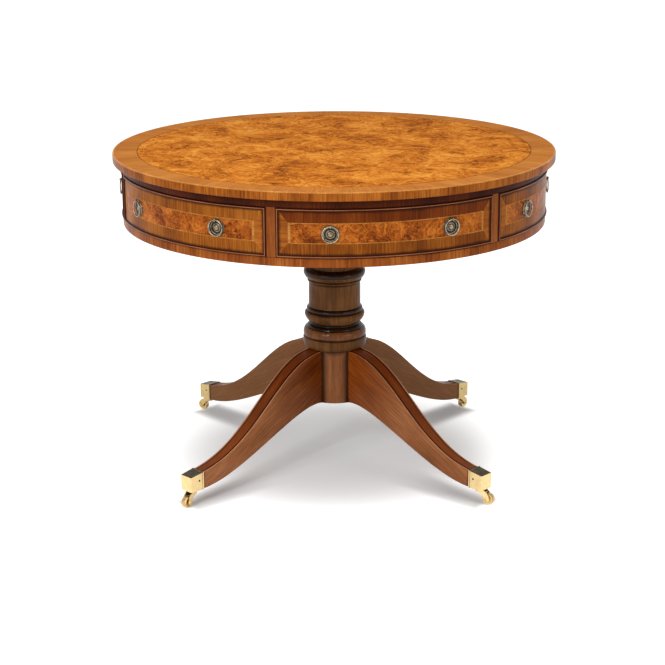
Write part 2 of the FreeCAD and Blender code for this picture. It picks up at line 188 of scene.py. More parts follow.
class Finish(Tree):
    """A procedural material with one shader."""

    def __init__(self, name):
        self.material = bpy.data.materials.new(name)
        super().__init__(self.material)
        self.shader = self.tree.nodes.new("ShaderNodeBsdfPrincipled")
        self.show("ShaderNodeOutputMaterial", self.shader.outputs["BSDF"])

    def look(self, values):
        for name, value in values.items():
            self.feed(self.shader.inputs[name], value)

    def polish(self, colour, roughness, coat, gloss):
        self.look({"Base Color": colour, "Roughness": roughness, "Specular IOR Level": gloss,
                   "Coat Weight": coat, "Coat Roughness": coat_roughness})

    def bump(self, height, distance, strength):
        inputs = {"Height": height, "Distance": distance, "Strength": strength}
        self.look({"Normal": self.made("ShaderNodeBump", "Normal", inputs)})

    def scaled(self, vector, scale, shift=(0, 0, 0)):
        return self.made("ShaderNodeMapping", 0, {"Vector": vector, "Scale": scale, "Location": shift})

    def turned(self, vector, angle):
        """The vector turned back about z by an angle."""
        return self.made("ShaderNodeMapping", 0, {"Vector": vector, "Rotation": (0, 0, -angle)})

    def parts(self, vector):
        """The x, y and z of a vector."""
        return [self.made("ShaderNodeSeparateXYZ", axis, {"Vector": vector}) for axis in "XYZ"]

    def noise(self, vector, scale=1.0, detail=2.0, roughness=0.5, distortion=0.0, output="Fac"):
        return self.made("ShaderNodeTexNoise", output, {
            "Vector": vector, "Scale": scale, "Detail": detail, "Roughness": roughness,
            "Distortion": distortion})

    def span(self, value, low, high, to_low=0.0, to_high=1.0):
        """The value stretched from one range to another, and kept inside it."""
        inputs = {"Value": value, "From Min": low, "From Max": high, "To Min": to_low, "To Max": to_high}
        return self.made("ShaderNodeMapRange", "Result", inputs, interpolation_type="SMOOTHSTEP")

    def ramp(self, value, stops):
        colour = self.made("ShaderNodeValToRGB", "Color", {"Fac": value})
        elements = colour.node.color_ramp.elements
        while len(elements) < len(stops):
            elements.new(1.0)
        for element, (place, tone) in zip(elements, stops):
            element.position = place
            element.color = (*tone, 1)
        return colour

    def toned(self, value, tones, spread, middle=0.5):
        """Dark, middle and light tones, spread evenly about a middle value."""
        return self.ramp(value, tuple(zip((middle - spread, middle, middle + spread), tones)))

    def mix(self, share, first, second):
        first, second = (value if isinstance(value, bpy.types.NodeSocket) else (*value, 1)
                         for value in (first, second))
        inputs = {"Factor": share, "A": first, "B": second}
        return self.made("ShaderNodeMix", "Result", inputs, data_type="RGBA")

    def grain_place(self, along_z, turn):
        """Coordinates in metres with the first one along the grain."""
        if not along_z and turn == 0.0:
            return self.made("ShaderNodeUVMap", "UV", uv_map="grain")
        place = self.made("ShaderNodeTexCoord", "Object")
        if not along_z:
            return self.turned(place, turn)
        x, y, z = self.parts(place)
        return self.made("ShaderNodeCombineXYZ", "Vector", {"X": z, "Y": x, "Z": y})

    def edge_distance(self):
        """Metres to the nearest groove or edge, from the second coordinate map."""
        first, second, _ = self.parts(self.made("ShaderNodeUVMap", "UV", uv_map="edges"))
        return self.math("MINIMUM", first, second)


def shaded(tone, share):
    return tuple(part * share for part in tone)


# Wood: noise scales per metre, the strength of each layer of the grain, and where the painted shade at a
# leg's root ends

broad_scale = (5, 16, 16)
streak_scale_along = 11
pore_scale_along = 40
broad_share = 0.45
pore_strength = 0.55
pore_shade = 0.35
edge_dark_share = 0.16
pore_relief = 0.06 * MM
root_shade_from = -50 * MM
root_shade_to = 170 * MM


def wood(name, tones, streaks=90, pores=900, edge_darkening=None, along_z=False, turn=0.0, coat=0.03, gloss=0.04,
         shift=0.0, root=None, spread=0.15):
    """Straight-grained wood in dark, middle and light tones.

    Streaks and pores are noise scales across the grain. The edge darkening says how far the wood darkens out
    of a groove or an edge, and how dark it is there: grime in part and painted shade in part. Root holds the
    tones that the grain starts with, painted shade where a leg meets the block."""
    finish = Finish(name)
    place = finish.grain_place(along_z, turn)
    broad = finish.noise(finish.scaled(place, broad_scale, (shift, 0, 0)), detail=3)
    streak_place = finish.scaled(place, (streak_scale_along, streaks, streaks), (shift, 0, 0))
    streak = finish.noise(streak_place, detail=6, roughness=0.66)
    fine = finish.noise(finish.scaled(place, (pore_scale_along, pores, pores)), detail=3, roughness=0.6)
    tone = finish.weighed((broad, broad_share), (streak, 1 - broad_share))
    colour = finish.toned(tone, tones, spread)
    if root:
        away = finish.span(finish.parts(place)[0], root_shade_from, root_shade_to)
        colour = finish.mix(away, finish.toned(tone, root, spread), colour)
    pore = finish.times(finish.span(fine, 0.42, 0.30), pore_strength)
    colour = finish.mix(pore, colour, shaded(tones[0], pore_shade))
    if edge_darkening:
        reach, depth = edge_darkening
        uneven = finish.times(finish.edge_distance(), finish.span(broad, 0.2, 0.8, 0.6, 1.5))
        darkening = finish.times(finish.span(uneven, reach, 0.0), depth)
        colour = finish.mix(darkening, colour, shaded(tones[0], edge_dark_share))
    finish.polish(colour, finish.span(streak, 0.3, 0.7, 0.30, 0.40), coat, gloss)
    finish.bump(fine, pore_relief, 0.5)
    return finish.material


# Burr: noise scales per metre, the reach of the bends, and the share of each layer in the tone

cloud_scale = 9
swirl_scale = 42
curl_scale = 130
eye_scale = 210
cluster_scale = 20
bend_scale = 11
bend_reach = 120 * MM
cloud_share = 0.34
swirl_share = 0.36
curl_share = 0.30
eye_shade = 0.30
burr_middle = 0.495
burr_relief = 0.05 * MM


def burr(name, tones, eyes, spread, size=1.0, shift=(0, 0, 0), gloss=0.04):
    """Burr veneer: clouds, swirls, curls and clusters of small dark eyes."""
    finish = Finish(name)
    place = finish.scaled(finish.grain_place(False, 0.0), (1 / size, 1 / size, 1 / size), shift)
    warp = finish.noise(place, bend_scale, 4, output="Color")
    bent = finish.made("ShaderNodeVectorMath", 0, {0: warp, 1: (bend_reach, bend_reach, 0.0), 2: place},
                       operation="MULTIPLY_ADD")
    cloud = finish.noise(bent, cloud_scale, 4, 0.55)
    swirl = finish.noise(bent, swirl_scale, 7, 0.70, 0.9)
    curl = finish.noise(bent, curl_scale, 5, 0.65, 0.4)
    tone = finish.weighed((cloud, cloud_share), (swirl, swirl_share), (curl, curl_share))
    colour = finish.toned(tone, tones, spread, burr_middle)
    cells = finish.made("ShaderNodeTexVoronoi", "Distance", {"Vector": bent, "Scale": eye_scale})
    cluster = finish.span(finish.noise(place, cluster_scale, 3, 0.6), 0.47, 0.62)
    eye = finish.times(finish.times(finish.span(cells, 0.34, 0.12), cluster), eyes)
    colour = finish.mix(eye, colour, shaded(tones[0], eye_shade))
    finish.polish(colour, finish.span(swirl, 0.3, 0.7, 0.26, 0.36), 0.03, gloss)
    finish.bump(curl, burr_relief, 0.4)
    return finish.material


speck_scale = (90, 700, 1)


def line_wood(name, tones):
    """Stringing with short dark specks."""
    finish = Finish(name)
    speck_place = finish.scaled(finish.grain_place(False, 0.0), speck_scale)
    speck = finish.noise(speck_place, detail=3, roughness=0.7)
    finish.polish(finish.toned(speck, tones, 0.15), finish.span(speck, 0.3, 0.7, 0.30, 0.42), 0.0, 0.0)
    return finish.material


scratch_scale = (300, 300, 2400)
scratch_share = 0.05
scratch_relief = 0.02 * MM
hollow_shade = 0.12


def metal(name, colour, tarnish, roughness, darkening, scale=160, edge_darkening=None):
    """Brass or steel with cloudy tarnish, fine scratches and darkening in its hollows: tarnish on the pull
    plates, painted shade on the castor wheels.
    """
    finish = Finish(name)
    place = finish.made("ShaderNodeTexCoord", "Object")
    cloud = finish.noise(place, scale, 5, 0.6)
    scratch = finish.noise(finish.scaled(place, scratch_scale), 1, 3, 0.6)
    tone = finish.mix(finish.span(cloud, 0.38, 0.68, 0.0, darkening), colour, tarnish)
    if edge_darkening:
        reach, depth = edge_darkening
        hollow = finish.times(finish.span(finish.edge_distance(), reach, 0.0), depth)
        tone = finish.mix(hollow, tone, shaded(tarnish, hollow_shade))
    uneven = finish.span(cloud, 0.3, 0.7, roughness * 0.7, roughness * 1.3)
    uneven = finish.math("MULTIPLY_ADD", scratch, scratch_share, uneven)
    finish.look({"Base Color": tone, "Metallic": 1.0, "Roughness": uneven})
    finish.bump(scratch, scratch_relief, 0.3)
    return finish.material


# Reach and depth of the darkening near grooves and edges: grime in part, painted shade in part

band_edge_darkening = (7 * MM, 0.85)
rail_edge_darkening = (3 * MM, 0.7)
shaft_grime_and_shade = (5 * MM, 0.93)
moulding_grime_and_shade = (4 * MM, 0.93)
# Beside the legs the block darkens: painted shade
block_painted_shade = (13 * MM, 0.95)
leg_grime_and_shade = (6.5 * MM, 0.97)
plate_patina = (2.3 * MM, 0.97)
wheel_painted_shade = (2.0 * MM, 0.9)

# Veneers, with their tones as linear red, green and blue

top_burr = burr("top_burr", ((0.17, 0.036, 0.003), (0.58, 0.165, 0.011), (0.84, 0.34, 0.048)), 0.6, 0.09,
                gloss=0.0)
front_burr = burr("front_burr", ((0.10, 0.016, 0.002), (0.34, 0.078, 0.006), (0.57, 0.17, 0.022)), 0.95,
                  0.075, size=0.55, shift=(3.1, 1.7, 0))
border_wood = wood("border_wood", ((0.34, 0.10, 0.016), (0.52, 0.18, 0.030), (0.68, 0.27, 0.056)),
                   240, gloss=0.0, spread=0.20)
rim_wood = wood("rim_wood", ((0.15, 0.032, 0.003), (0.31, 0.080, 0.007), (0.48, 0.15, 0.019)),
                300, shift=3.0, spread=0.10)
# A lighter strip on the rim's arris: a painted highlight
rim_arris_highlight_wood = wood("rim_arris_highlight_wood", ((0.36, 0.12, 0.018), (0.52, 0.20, 0.034), (0.68, 0.30, 0.070)),
                      260, 800, shift=3.0)
crossband_wood = wood("crossband_wood", ((0.10, 0.019, 0.002), (0.21, 0.052, 0.004), (0.34, 0.102, 0.010)),
                      260, 800, band_edge_darkening, spread=0.12)
side_band_wood = wood("side_band_wood", ((0.13, 0.028, 0.003), (0.27, 0.072, 0.006), (0.43, 0.140, 0.014)),
                      260, 800, band_edge_darkening, spread=0.12, shift=1.0)
# The front drawer's upper crossbanding is darker wood: painted shade under the top's overhang
shaded_upper_band_wood = wood("shaded_upper_band_wood", ((0.075, 0.012, 0.001), (0.145, 0.026, 0.002),
                       (0.24, 0.055, 0.006)), 260, 800, band_edge_darkening)
end_band_wood = wood("end_band_wood", ((0.17, 0.038, 0.004), (0.33, 0.088, 0.009), (0.50, 0.165, 0.023)),
                     120, 700, band_edge_darkening, shift=5.0)
pale_line = line_wood("pale_line", ((0.26, 0.085, 0.012), (0.44, 0.18, 0.035), (0.58, 0.29, 0.080)))
dark_line = line_wood("dark_line", ((0.030, 0.010, 0.004), (0.060, 0.020, 0.007), (0.10, 0.035, 0.012)))

# Woods of the drum and the pedestal

stile_tones = ((0.13, 0.027, 0.004), (0.23, 0.056, 0.009), (0.34, 0.10, 0.020))
leg_tones = ((0.18, 0.058, 0.020), (0.32, 0.116, 0.043), (0.47, 0.195, 0.083))
lining_tones = ((0.36, 0.20, 0.085), (0.50, 0.31, 0.14), (0.62, 0.42, 0.21))

# The upper rail is darker wood: painted shade under the top's overhang
shaded_upper_rail_wood = wood("shaded_upper_rail_wood", ((0.045, 0.006, 0.001), (0.090, 0.013, 0.001),
                       (0.15, 0.030, 0.003)), 230, 800, rail_edge_darkening)
lower_rail_wood = wood("lower_rail_wood", ((0.15, 0.030, 0.004), (0.28, 0.068, 0.009), (0.42, 0.13, 0.022)),
                       230, 800, rail_edge_darkening, spread=0.11, shift=2.0)
stile_wood = wood("stile_wood", stile_tones, 160, 800, rail_edge_darkening)
bead_wood = wood("bead_wood", ((0.016, 0.002, 0.001), (0.036, 0.005, 0.001), (0.070, 0.012, 0.003)),
                 300, coat=0.06)
# The bead's crest is lighter wood: a painted highlight
bead_crest_highlight_wood = wood("bead_crest_highlight_wood", ((0.19, 0.055, 0.018), (0.32, 0.11, 0.040), (0.46, 0.19, 0.085)),
                       300, coat=0.06)
column_wood = wood("column_wood", ((0.055, 0.021, 0.005), (0.125, 0.048, 0.012), (0.20, 0.085, 0.024)),
                   170, 800, shaft_grime_and_shade, True, coat=0.06)
# The mouldings take a darker wood, partly its own tone and partly painted shade from the drum above
dark_shaded_moulding_wood = wood("dark_shaded_moulding_wood", ((0.010, 0.003, 0.001), (0.022, 0.006, 0.002),
                          (0.045, 0.013, 0.005)), 120, 700, moulding_grime_and_shade, True, coat=0.25)
ovolo_wood = wood("ovolo_wood", ((0.075, 0.022, 0.005), (0.145, 0.045, 0.010), (0.22, 0.080, 0.020)),
                  120, 700, shaft_grime_and_shade, True, coat=0.25)
# The block darkens beside each leg: painted shade
pedestal_block_wood = wood("pedestal_block_wood", ((0.16, 0.056, 0.019), (0.25, 0.092, 0.034),
                           (0.33, 0.135, 0.055)), 150, 800, block_painted_shade, True)
# The front legs' roots are darker, painted shade near the block; the left one more deeply
left_leg_wood_shaded_root = wood("left_leg_wood_shaded_root", leg_tones, 260, 1100, leg_grime_and_shade, spread=0.14,
                     root=((0.055, 0.010, 0.001), (0.115, 0.022, 0.002), (0.20, 0.047, 0.006)))
right_leg_wood_shaded_root = wood("right_leg_wood_shaded_root", leg_tones, 260, 1100, leg_grime_and_shade, spread=0.14, shift=4.0,
                      root=((0.105, 0.020, 0.002), (0.20, 0.041, 0.004), (0.31, 0.078, 0.010)))
# The rear legs take a darker, greyer copy of the leg wood: painted shade under the drum
shaded_rear_leg_wood = wood("shaded_rear_leg_wood", ((0.135, 0.051, 0.018), (0.215, 0.089, 0.032), (0.30, 0.130, 0.053)),
                     260, 1100, leg_grime_and_shade, spread=0.20)
leg_top_wood = wood("leg_top_wood", ((0.105, 0.017, 0.002), (0.19, 0.038, 0.004), (0.28, 0.068, 0.010)),
                    90, 800, leg_grime_and_shade)
# The leg's arris is lighter wood: a painted highlight
leg_arris_highlight_wood = wood("leg_arris_highlight_wood", ((0.34, 0.135, 0.060), (0.50, 0.23, 0.115), (0.66, 0.36, 0.20)),
                      90, 800, coat=0.3)
plain_wood = wood("plain_wood", ((0.26, 0.14, 0.055), (0.38, 0.22, 0.10), (0.48, 0.30, 0.15)),
                  coat=0.0, turn=0.4)
block_wood = wood("block_wood", stile_tones, coat=0.0, turn=0.2)

# Metals: colour, tarnish, roughness and the tarnish's strength

aged_brass = metal("aged_brass", (0.38, 0.31, 0.21), (0.10, 0.070, 0.045), 0.26, 0.8, edge_darkening=plate_patina)
ring_brass = metal("ring_brass", (0.36, 0.29, 0.20), (0.12, 0.085, 0.055), 0.22, 0.9, 260)
polished_brass = metal("polished_brass", (0.74, 0.55, 0.27), (0.52, 0.35, 0.15), 0.18, 0.30, 70)
# Dark brass: a painted reflection of the drum's underside on the caps' tops, and painted shade in the groove,
# the screws and the castor bridge
painted_shade_and_reflection_brass = metal("painted_shade_and_reflection_brass", (0.062, 0.036, 0.007), (0.028, 0.017, 0.004), 0.34, 0.6, 70)
# The rear caps and castors take a darker brass: painted shade
shaded_rear_brass = metal("shaded_rear_brass", (0.50, 0.37, 0.165), (0.33, 0.23, 0.09), 0.22, 0.35, 70)
# The wheels take a darker brass, darkest at their edges: painted shade
shaded_wheel_brass = metal("shaded_wheel_brass", (0.60, 0.40, 0.17), (0.26, 0.15, 0.05), 0.26, 0.6, 240, wheel_painted_shade)
pivot_steel = metal("pivot_steel", (0.38, 0.38, 0.38), (0.16, 0.14, 0.12), 0.42, 0.5)


# Mesh building

FAR = 1.0
AWAY = (FAR, FAR)
same_place = 0.002 * MM
least_edge = 0.001 * MM
drum_segments = 180
corner_steps = 4


class Shell:
    """The faces of one piece. A corner is its point, its place on the grain and its edge distances."""

    def __init__(self):
        self.points = []
        self.faces = []
        self.corners = []
        self.slots = []

    def join(self, indexes, corners, slot):
        self.faces.append(indexes)
        self.corners.extend(corners)
        self.slots.append(slot)

    def face(self, corners, slot=0):
        start = len(self.points)
        self.points.extend(corner[0] for corner in corners)
        self.join(range(start, len(self.points)), corners, slot)

    def grid(self, rows, slot=0):
        """Join rows of corners with four-sided faces."""
        start = len(self.points)
        width = len(rows[0])
        self.points.extend(corner[0] for row in rows for corner in row)
        for i in range(len(rows) - 1):
            for j in range(width - 1):
                places = ((i, j), (i, j + 1), (i + 1, j + 1), (i + 1, j))
                self.join([start + a * width + b for a, b in places], [rows[a][b] for a, b in places], slot)

    def place(self, matrix, since=0):
        self.points[since:] = [matrix @ point for point in self.points[since:]]

    def build(self, name, body, slot, materials, replaces=(), sharp=32):
        mesh = bpy.data.meshes.new(name)
        mesh.from_pydata(self.points, [], self.faces)
        for number, map_name in ((1, "grain"), (2, "edges")):
            layer = mesh.uv_layers.new(name=map_name)
            layer.data.foreach_set("uv", [value for corner in self.corners for value in corner[number]])
        mesh.polygons.foreach_set("material_index", self.slots)
        work = bmesh.new()
        work.from_mesh(mesh)
        bmesh.ops.remove_doubles(work, verts=work.verts, dist=same_place)
        bmesh.ops.dissolve_degenerate(work, edges=work.edges, dist=least_edge)
        bmesh.ops.recalc_face_normals(work, faces=work.faces)
        work.to_mesh(mesh)
        work.free()
        mesh.shade_smooth()
        mesh.set_sharp_from_angle(angle=math.radians(sharp))
        for material in materials:
            mesh.materials.append(material)
        piece = new_object(name, mesh)
        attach(piece, body)
        if replaces:
            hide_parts(*replaces)
        return piece


def swept(places, steps, corner):
    """Rows of corners, with one row for each place and a share of the way along it at each step."""
    return [[corner(place, step / steps) for step in range(steps + 1)] for place in places]


def in_metres(outline):
    return [(first * MM, second * MM) for first, second in outline]


def around(radius, angle, z):
    return Vector((radius * math.cos(angle), radius * math.sin(angle), z))


def along_profile(profile):
    """Distances along an outline from its start."""
    lengths = [0.0]
    for (r0, z0), (r1, z1) in zip(profile, profile[1:]):
        lengths.append(lengths[-1] + math.hypot(r1 - r0, z1 - z0))
    return lengths


def from_leg_sides(angle):
    """Metres round the block from the nearest side of a leg."""
    turn = (angle - first_leg_angle + math.pi / 4) % (math.pi / 2) - math.pi / 4
    return max(0.0, abs(turn) * leg_root - leg_root_half)


def lathe(shell, profile, segments, slot=0, grain="up", hollows=(), painted_shade_beside_legs=False):
    """Turn an outline of (radius, height) points about z.

    The surface darkens at the points whose indexes are in hollows, with grime and painted shade, and beside
    the legs where that is asked for, with painted shade."""
    lengths = along_profile(profile)
    widest = max(radius for radius, _ in profile)

    def corner(index, share):
        radius, z = profile[index]
        angle = 2 * math.pi * share
        point = around(radius, angle, z)
        place = {
            "up": (z, angle * widest),
            "radial": (radius, angle * widest),
            "round": (angle * widest, lengths[index]),
            "plan": (point.x, point.y),
        }[grain]
        depth = min([abs(lengths[index] - lengths[hollow]) for hollow in hollows] or [FAR])
        return (point, place, (depth, from_leg_sides(angle) if painted_shade_beside_legs else FAR))

    shell.grid(swept(range(len(profile)), segments, corner), slot)


def arc(start, middle, end, steps):
    """Points on the circle through three points in a plane, from the first to the last."""
    start, middle, end = (complex(x, y) for x, y in (start, middle, end))
    ratio = (end - start) / (middle - start)
    centre = start + (middle - start) * (ratio - abs(ratio) ** 2) / (2j * ratio.imag)
    spoke = start - centre
    between, turn = (cmath.phase((point - centre) / spoke) % (2 * math.pi) for point in (middle, end))
    if between > turn:
        turn -= 2 * math.pi
    points = [centre + spoke * cmath.rect(1, turn * step / steps) for step in range(steps + 1)]
    return [(point.real, point.imag) for point in points]


def rounded(points, radius):
    """An open outline with each inner corner rounded."""
    result = [points[0]]
    for before, corner, after in zip(points, points[1:], points[2:]):
        corner = Vector(corner)
        start, end = (corner + (Vector(other) - corner).normalized() * radius for other in (before, after))
        for step in range(corner_steps + 1):
            share = step / corner_steps
            result.append(tuple(start.lerp(corner, share).lerp(corner.lerp(end, share), share)))
    result.append(points[-1])
    return result


# Table top

arris = 1.8 * MM
edge_inset = 4 * MM
under_reach = 470 * MM
border_depth = 1 * MM
TOP_BORDER, TOP_LINE, TOP_RIM, TOP_UNDER, TOP_ARRIS_HIGHLIGHT = range(5)


def make_top():
    core, crossbanding, veneer = "top_core", "top_crossbanding", "top_burr_veneer"
    field = Shell()
    middle = field_radius / 2
    flat = [(0.0, table_height), (middle, table_height), (field_radius, table_height)]
    lathe(field, flat, drum_segments, grain="plan")
    field.build("top_field", "drum", "burr_walnut", [top_burr], (veneer,))
    border = Shell()
    inner = field_radius + stringing_width
    line = [(field_radius, table_height), (inner, table_height)]
    lathe(border, line, drum_segments, TOP_LINE, grain="round")
    edge = rounded([(top_radius - edge_inset, table_height), (top_radius, table_height),
                    (top_radius, drum_top), (top_radius - edge_inset, drum_top)], arris)
    lathe(border, [(inner, table_height), edge[0]], drum_segments, TOP_BORDER, grain="radial")
    crown = corner_steps + 1
    # The arris strip takes lighter wood: a painted highlight
    lathe(border, edge[:crown + 1], drum_segments, TOP_ARRIS_HIGHLIGHT)
    lathe(border, edge[crown:], drum_segments, TOP_RIM)
    lathe(border, [edge[-1], (under_reach, drum_top)], drum_segments, TOP_UNDER)
    shelf = table_height - border_depth
    lathe(border, [(under_reach, drum_top), (under_reach, shelf), (field_radius, shelf),
                   (field_radius, table_height)], drum_segments, TOP_UNDER)
    materials = [border_wood, dark_line, rim_wood, plain_wood, rim_arris_highlight_wood]
    border.build("top_border", "drum", "crossband_walnut", materials, (core, crossbanding))


# Carcase rails and stiles

rail_arris = 0.8 * MM
board_middle = 18 * MM
pivot_hole = 9.1 * MM
stile_steps = 6


def make_rails():
    # The upper rail's darker wood is painted shade under the top's overhang
    for name, bottom, top, material, nodes in (
        ("upper_rail", opening_top, drum_top, shaded_upper_rail_wood, ("carcase_top_board",)),
        ("lower_rail", drum_bottom, opening_bottom, lower_rail_wood, ("carcase_bottom_board",)),
    ):
        rail = Shell()
        corners = [(board_middle, bottom), (drum_radius, bottom), (drum_radius, top), (board_middle, top)]
        outline = rounded(corners, rail_arris)
        edge = outline[1:-1]
        last = len(edge) - 1
        lathe(rail, edge, drum_segments, hollows=(0, last) if name == "upper_rail" else (last,))
        for flat in (outline[:2], outline[-2:]):
            lathe(rail, flat, drum_segments, slot=1, grain="plan")
        if name == "lower_rail":
            bore = [(board_middle, bottom), (pivot_hole, bottom), (pivot_hole, top), (board_middle, top)]
            lathe(rail, bore, drum_segments, slot=1, grain="plan")
        rail.build(name, "drum", "frieze_walnut", [material, plain_wood], nodes)


def arc_panel(shell, low, high, bottom, top, slot, upright, steps, edges):
    """A patch on the drum between two heights, from a start to an end angle at its low and its high side."""
    def corner(side, share):
        (start, end), z = side
        angle = start + (end - start) * share
        along = angle * drum_radius
        return (around(drum_radius, angle, z), (z, along) if upright else (along, z), edges(angle, z))

    shell.grid(swept(((low, bottom), (high, top)), steps, corner), slot)


def make_stiles():
    stiles = Shell()
    side_y = stile_width / 2
    front_x = math.sqrt(drum_radius ** 2 - side_y ** 2)
    half = math.asin(side_y / drum_radius)
    heights = (opening_bottom, opening_top)
    for bay in range(len(bay_names)):
        centre = bay_angle(bay) + half_bay
        turn = Matrix.Rotation(centre, 3, "Z")

        def to_side(angle, z):
            return (side_y - abs(angle - centre) * drum_radius, FAR)

        def corner(side, depth, z, across):
            return (turn @ Vector((front_x - depth, side * side_y, z)), (z, across), AWAY)

        reach = (centre - half, centre + half)
        arc_panel(stiles, reach, reach, *heights, 0, True, stile_steps, to_side)
        for side in (-1, 1):
            stiles.grid([[corner(side, depth, z, depth) for depth in (0, stile_depth)] for z in heights])
        stiles.grid([[corner(side, stile_depth, z, side * side_y) for side in (-1, 1)] for z in heights])
    stiles.build("stiles", "drum", "frieze_walnut", [stile_wood], ("frieze_stiles",))


# Fronts: burr field, pale line, crossbanding with mitred ends

line_low = 648.8 * MM
line_high = 691.5 * MM
line_width = 1.5 * MM
end_line_angle = math.radians(25.75)
end_line_width = 5.5 * MM
panel_steps = 28
end_band_steps = 4
least_angle = 0.0001
LOW_BAND, END_BAND, LINE, BURR, BACK, HIGH_BAND = range(6)


def front_outline(bay):
    """Half angle and heights of a front inside its cock bead."""
    bottom = opening_bottom + (front_gap if is_drawer(bay) else 0) + bead_width
    top = opening_top - front_gap - bead_width
    return opening_half(bead_width, drum_radius), bottom, top


def front_face(shell, bay):
    half, bottom, top = front_outline(bay)
    centre = bay_angle(bay)
    line = end_line_angle
    burr_end = end_line_angle - end_line_width / drum_radius
    rows_high = line_high + line_width

    def edges(angle, z):
        return ((half - abs(angle - centre)) * drum_radius, min(z - bottom, top - z))

    def panel(low, high, z0, z1, slot, upright):
        low, high = ([centre + angle for angle in pair] for pair in (low, high))
        arc_panel(shell, low, high, z0, z1, slot, upright, panel_steps, edges)

    def mitred(spot, rise):
        """A corner of the band at one end, whose upright rows shorten from the outer edge to the line."""
        side, share = spot
        angle = centre + side * (half + (line - half) * share)
        foot = bottom + (line_low - bottom) * share
        head = top + (rows_high - top) * share
        z = foot + (head - foot) * rise
        return (around(drum_radius, angle, z), (angle * drum_radius, z), edges(angle, z))

    bands = ((bottom, line_low, half, line, LOW_BAND), (rows_high, top, line, half, HIGH_BAND))
    for z0, z1, outer, inner, slot in bands:
        split = (z0 + z1) / 2
        between = (outer + inner) / 2
        for a0, a1, za, zb in ((outer, between, z0, split), (between, inner, split, z1)):
            panel((-a0, a0), (-a1, a1), za, zb, slot, True)
    for side in (-1, 1):
        upright_rows = [(side, step / end_band_steps) for step in range(end_band_steps + 1)]
        shell.grid(swept(upright_rows, end_band_steps * 2, mitred), END_BAND)
        ends = sorted((side * line, side * burr_end))
        panel(ends, ends, line_low, rows_high, LINE, False)
    field = (-burr_end, burr_end)
    panel(field, field, line_low, line_low + line_width, LINE, False)
    panel(field, field, line_high, rows_high, LINE, False)
    panel(field, field, line_low + line_width, line_high, BURR, False)


def stave_back(shell, bay, bottom, top):
    """The flat backs of the staves behind a front."""
    half = opening_half(0.0, drum_radius)
    centre = bay_angle(bay)
    flat = drum_radius - front_thickness
    step = 2 * math.pi / staves_all_round
    joints = [step * (index + 0.5) for index in range(-2, 2)]
    turns = [-half] + [turn for turn in joints if abs(turn) <= half] + [half]

    def corner(turn, z):
        nearest = round(turn / step) * step
        if abs(abs(turn - nearest) - step / 2) < least_angle:
            nearest = turn - step / 2
        radius = flat / math.cos(turn - nearest)
        angle = centre + turn
        return (around(radius, angle, z), (z, angle * radius), AWAY)

    shell.grid([[corner(turn, z) for turn in turns] for z in (bottom, top)], BACK)


def make_fronts():
    for bay, name in enumerate(bay_names):
        front = Shell()
        front_face(front, bay)
        half, bottom, top = front_outline(bay)
        stave_back(front, bay, bottom, top)
        # Only the front drawer's upper band takes the darker wood, painted shade under the top's overhang
        bands = (crossband_wood, shaded_upper_band_wood) if bay == 0 else (side_band_wood, side_band_wood)
        materials = [bands[0], end_band_wood, pale_line, front_burr, plain_wood, bands[1]]
        piece = name + ("_drawer_face" if is_drawer(bay) else "_face")
        node = bay_node(bay, "front", "dummy_fronts")
        front.build(piece, bay_body(bay), "burr_walnut", materials, (node,))


# Cock beads: four mitred strips with a rounded nose, whose crest carries a painted highlight

bead_seat = 0.8 * MM
bead_foot = 0.4 * MM
bead_shoulder = 0.8 * MM
nose_steps = 10
bead_points = nose_steps + 5
crest_start = 6
crest_end = 8
# The crest strip takes the lighter wood, a painted highlight
bead_strips = ((0, crest_start, 0), (crest_start, crest_end, 1), (crest_end, bead_points - 1, 0))
bead_steps_along = 40
bead_steps_up = 4


def bead_section():
    """(distance across the strip, radius), from its outer side over the nose to its inner side."""
    back = drum_radius - front_thickness + bead_seat
    low = drum_radius - bead_foot
    shoulder = low + bead_shoulder
    nose = drum_radius + bead_proud
    curve = arc((0.0, shoulder), (bead_width / 2, nose), (bead_width, shoulder), nose_steps)
    return [(0.0, back), (0.0, low)] + curve + [(bead_width, low), (bead_width, back)]


def make_beads():
    section = bead_section()
    for bay, name in enumerate(bay_names):
        centre = bay_angle(bay)
        bottom = opening_bottom + (front_gap if is_drawer(bay) else 0)
        top = opening_top - front_gap
        strips = []
        for side in (1, -1):
            def level(spot, share):
                across, radius = spot
                angle = centre + opening_half(across, radius) * (2 * share - 1)
                z = (bottom if side == 1 else top) + side * across
                return (around(radius, angle, z), (angle * drum_radius, across + radius), AWAY)

            def upright(spot, share):
                across, radius = spot
                angle = centre + side * opening_half(across, radius)
                z = bottom + across + (top - bottom - 2 * across) * share
                return (around(radius, angle, z), (z, across + radius), AWAY)

            strips.append(swept(section, bead_steps_along, level))
            strips.append(swept(section, bead_steps_up, upright))
        beads = Shell()
        for rows in strips:
            for start, end, slot in bead_strips:
                beads.grid(rows[start:end + 1], slot)
        node = bay_node(bay, "cock_bead", "dummy_cock_beads")
        beads.build(name + "_bead", bay_body(bay), "cock_bead", [bead_wood, bead_crest_highlight_wood], (node,))


# Ring pulls

handle_height = 670 * MM
handle_spread = math.radians(15.4)
ring_radius = 17.2 * MM
ring_bar = 1.55 * MM
ring_stand = 6.2 * MM
hinge_rise = ring_radius * math.cos(math.pi / 12)
eye_radius = 2.9 * MM
eye_bar = 1.0 * MM
outwards = Matrix(((0, 0, 1), (1, 0, 0), (0, 1, 0))).to_4x4()

# Plate and post as (radius, height) in millimetres, and the plate's dark hollows by index

